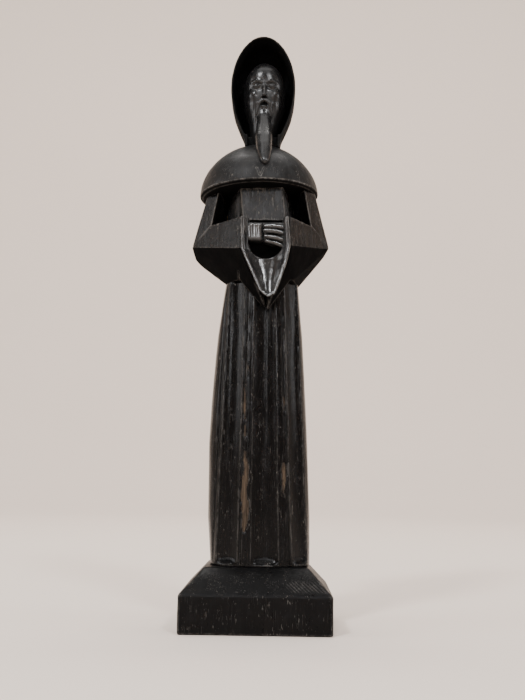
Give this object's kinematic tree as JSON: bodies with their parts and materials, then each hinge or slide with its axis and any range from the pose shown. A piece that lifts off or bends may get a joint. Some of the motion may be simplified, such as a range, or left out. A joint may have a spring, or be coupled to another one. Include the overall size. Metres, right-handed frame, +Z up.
{
  "type": "carved wooden figurine",
  "caption": "Tall slim hooded and bearded robed figure with hands joined in wide pointed sleeves, standing on a bevelled rectangular plinth.",
  "frame": {"origin": "centre of the plinth's underside, on the surface that the figure stands on", "axes": "+Z up along the figure, -Y the way the figure faces, +X to the right of a viewer who faces it"},
  "size_m": [0.057, 0.05, 0.2393],
  "materials": {
    "black_wood": "black-stained carved wood, waxed, worn brown on its edges",
    "cape_wood": "black-stained wood, rubbed to a soft greyish sheen",
    "worn_wood": "black-stained wood, handled and rubbed to a shine with brown edges",
    "raw_wood": "unfinished beech dowel",
    "steel": "plain steel screw"
  },
  "bodies": {
    "root": {"plinth": "black_wood", "base_screw": "steel", "base_dowels": "raw_wood", "robe": "black_wood", "waist_dowel": "raw_wood", "torso": "black_wood", "left_sleeve": "black_wood", "right_sleeve": "black_wood", "sleeve_dowels": "raw_wood", "sleeve_mouth": "worn_wood", "mouth_dowel": "raw_wood", "left_hand": "worn_wood", "right_hand": "worn_wood", "hand_pegs": "raw_wood", "cape": "cape_wood", "hood": "black_wood", "neck_dowel": "raw_wood", "head": "black_wood"}
  },
  "joints": []
}
